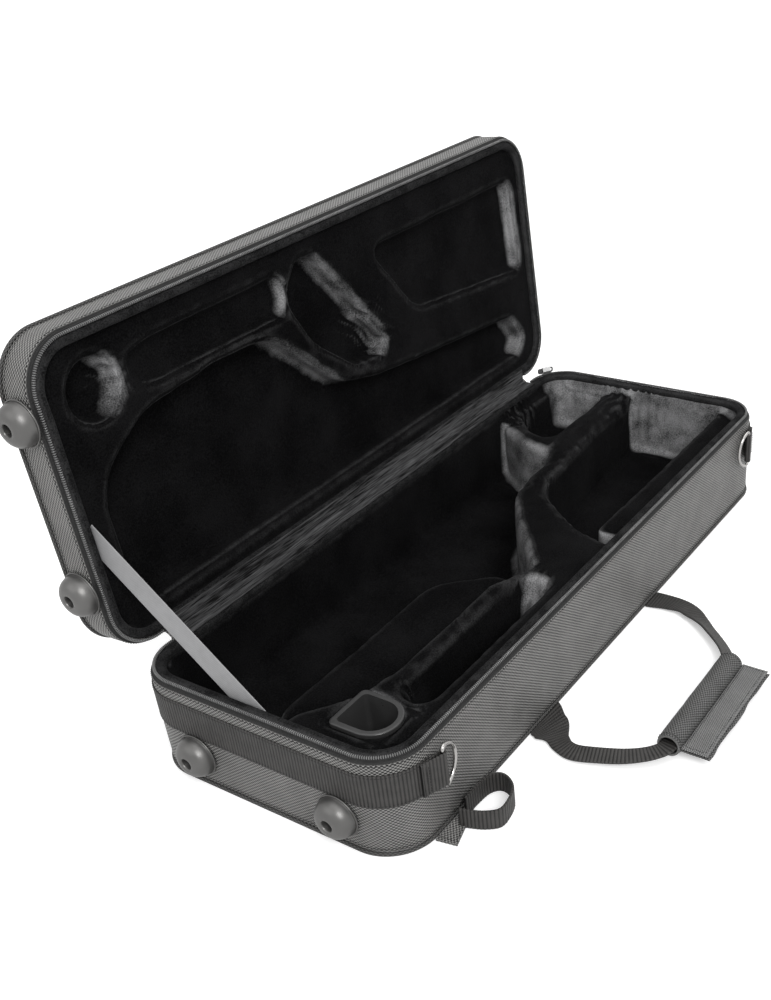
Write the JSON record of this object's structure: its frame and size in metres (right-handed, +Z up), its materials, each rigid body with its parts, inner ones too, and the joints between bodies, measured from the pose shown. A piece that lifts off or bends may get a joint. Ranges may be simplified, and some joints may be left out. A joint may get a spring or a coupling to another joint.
{
  "type": "tenor saxophone case",
  "caption": "Oblong soft-shell instrument case with a hinged zip-up lid, plush-lined shaped recesses, domed feet, D-rings, a stay strap and a padded carrying handle.",
  "frame": {"origin": "centre of the base's bottom face", "axes": "+X along the case's length, -Y towards the carrying handle, +Y towards the hinge, +Z up"},
  "size_m": [0.8618, 0.5895, 0.451],
  "materials": {
    "woven_nylon": "heavy basket-woven nylon, low sheen",
    "piping": "fabric-covered cord",
    "zip_tape": "ribbed tape",
    "zip_coil": "nylon coil, satin",
    "velour_binding": "short velour",
    "plush": "deep plush, soft nap",
    "moulded_plastic": "satin moulded",
    "webbing": "flat woven webbing",
    "plated_ring": "dark plated wire",
    "foot_plastic": "satin moulded",
    "screw_steel": "blackened",
    "stay_ribbon": "light grey ribbon",
    "slider_metal": "dark plated, satin"
  },
  "bodies": {
    "base": {"base_shell": "woven_nylon", "base_piping": "piping", "base_zip_tape": "zip_tape", "base_zip_coil": "zip_coil", "base_rim_binding": "velour_binding", "base_floor_pad": "plush", "base_wall_lining": "plush", "front_foam_block": "plush", "partition_foam_block": "plush", "corner_foam_block": "plush", "ledge_foam_block": "plush", "body_shelf_foam": "plush", "mouthpiece_cup": "moulded_plastic", "end_band_left": "webbing", "end_band_right": "webbing", "ring_loop_left": "webbing", "ring_loop_right": "webbing", "base_feet": "foot_plastic", "base_foot_screws": "screw_steel", "strap_tab": "woven_nylon", "strap_tab_webbing": "webbing", "hinge_outer_fabric": "woven_nylon", "hinge_inner_strip": "velour_binding", "stay_strap": "stay_ribbon"},
    "lid": {"lid_shell": "woven_nylon", "lid_piping": "piping", "lid_zip_tape": "zip_tape", "lid_zip_coil": "zip_coil", "lid_rim_binding": "velour_binding", "lid_foam_block": "plush", "lid_feet": "foot_plastic", "lid_foot_screws": "screw_steel"},
    "handle": {"handle_strap": "webbing", "handle_grip": "woven_nylon"},
    "grip_flap": {"grip_flap": "woven_nylon"},
    "lid_handle": {"lid_handle_strap": "webbing"},
    "d_ring_left": {"d_ring_left": "plated_ring"},
    "d_ring_right": {"d_ring_right": "plated_ring"},
    "zip_slider": {"zip_slider": "slider_metal"},
    "zip_pull": {"zip_pull": "slider_metal"}
  },
  "joints": [
    {"name": "lid_hinge", "type": "hinge", "parent": "base", "child": "lid", "pos_m": [0, 0.168, 0.1193], "axis": [1, 0, 0], "range_deg": [0, 94], "deforming": ["stay_strap", "hinge_inner_strip", "hinge_outer_fabric"]},
    {"name": "handle_swing", "type": "hinge", "parent": "base", "child": "handle", "pos_m": [-0.056, -0.168, 0.003], "axis": [-1, 0, 0], "range_deg": [0, 70]},
    {"name": "grip_flap_hinge", "type": "hinge", "parent": "handle", "child": "grip_flap", "pos_m": [-0.084, -0.3195, 0.0166], "axis": [-1, 0, 0], "range_deg": [0, 110]},
    {"name": "lid_handle_swing", "type": "hinge", "parent": "lid", "child": "lid_handle", "pos_m": [-0.04, 0.23988, 0.43906], "axis": [1, 0, 0], "range_deg": [-3, 160]},
    {"name": "d_ring_left_swing", "type": "hinge", "parent": "base", "child": "d_ring_left", "pos_m": [-0.357, -0.1735, 0.0805], "axis": [0, 0, -1], "range_deg": [-5, 140]},
    {"name": "d_ring_right_swing", "type": "hinge", "parent": "base", "child": "d_ring_right", "pos_m": [0.357, -0.1735, 0.0805], "axis": [0, 0, 1], "range_deg": [-5, 140]},
    {"name": "zip_slider_run", "type": "hinge", "parent": "base", "child": "zip_slider", "pos_m": [0.368, 0.113, 0.1193], "axis": [0, 0, -1], "range_deg": [0, 50]},
    {"name": "zip_pull_swing", "type": "hinge", "parent": "zip_slider", "child": "zip_pull", "pos_m": [0.40978, 0.15175, 0.1193], "axis": [0, 0, -1], "range_deg": [0, 150]}
  ]
}
